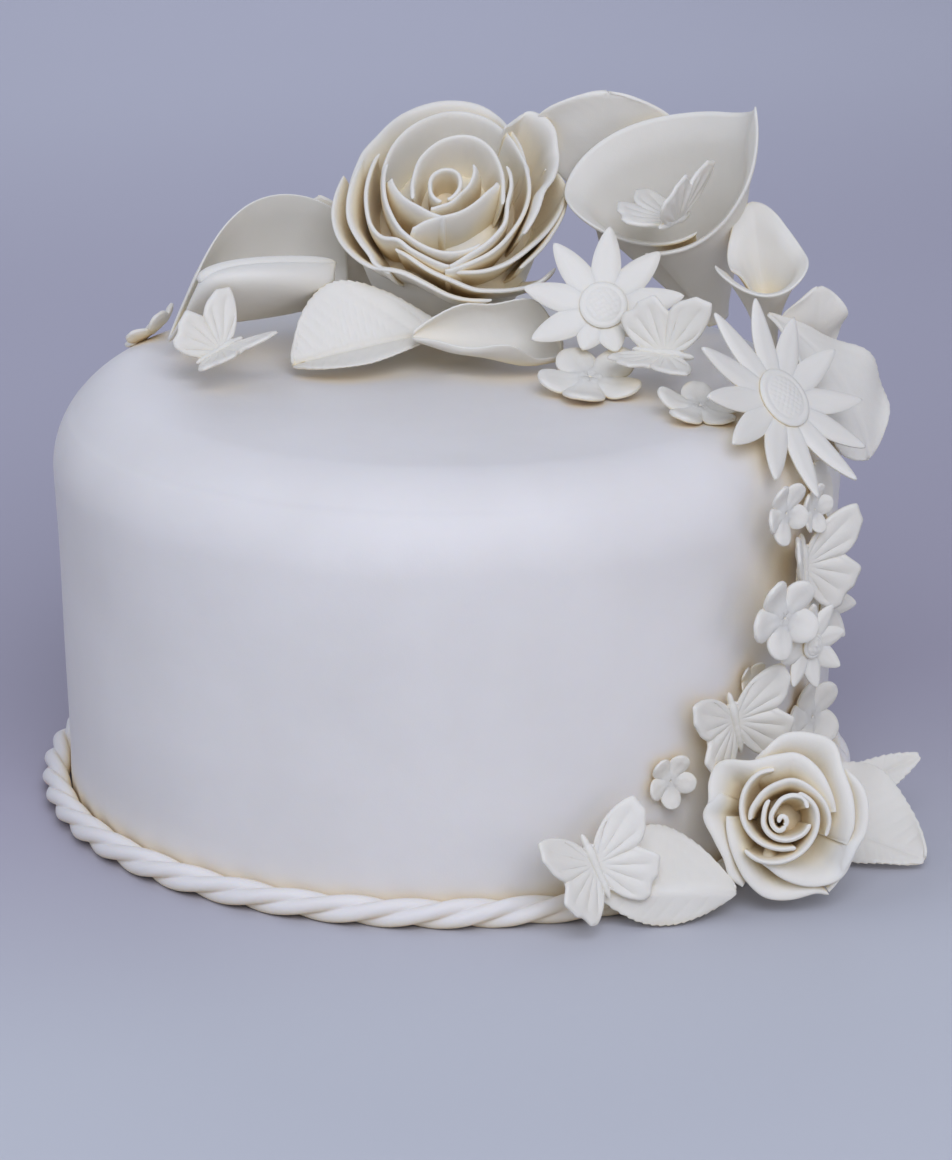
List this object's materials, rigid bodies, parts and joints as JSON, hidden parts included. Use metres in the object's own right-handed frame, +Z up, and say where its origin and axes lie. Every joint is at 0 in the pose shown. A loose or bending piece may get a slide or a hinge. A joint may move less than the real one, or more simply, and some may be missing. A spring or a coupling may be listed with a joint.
{
  "type": "single_tier_cake",
  "caption": "Round single-tier cake in ivory sugar paste, with a twisted rope border and sugar roses, calla lilies, daisies, blossoms, leaves and butterflies.",
  "frame": {"origin": "middle of the underside of the cake, on the surface it stands on", "axes": "+Z up, -Y the front that the picture shows, +X to the right of who looks at the front"},
  "size_m": [0.2318, 0.2285, 0.1796],
  "materials": {
    "paste": "satin",
    "flower_paste": "matt"
  },
  "bodies": {
    "root": {"cake_body": "paste", "rope_border": "paste", "blossom_edge": "flower_paste", "blossom_front": "flower_paste", "blossom_left": "flower_paste", "blossom_side_back": "flower_paste", "blossom_side_high": "flower_paste", "blossom_side_large": "flower_paste", "blossom_side_low": "flower_paste", "blossom_side_pointed": "flower_paste", "blossom_side_tiny": "flower_paste", "blossom_side_twin": "flower_paste", "butterfly_calla": "flower_paste", "butterfly_foot": "flower_paste", "butterfly_left": "flower_paste", "butterfly_right": "flower_paste", "butterfly_side_high": "flower_paste", "butterfly_side_low": "flower_paste", "calla_left": "flower_paste", "calla_right": "flower_paste", "calla_small": "flower_paste", "daisy_left": "flower_paste", "daisy_right": "flower_paste", "daisy_side": "flower_paste", "leaf_back": "flower_paste", "leaf_behind": "flower_paste", "leaf_foot_left": "flower_paste", "leaf_foot_right": "flower_paste", "leaf_foot_small": "flower_paste", "leaf_front_curled": "flower_paste", "leaf_front_left": "flower_paste", "leaf_shoulder": "flower_paste", "leaf_side_curl": "flower_paste", "petal_shoulder": "flower_paste", "rose_foot": "flower_paste", "rose_top": "flower_paste"}
  },
  "joints": []
}
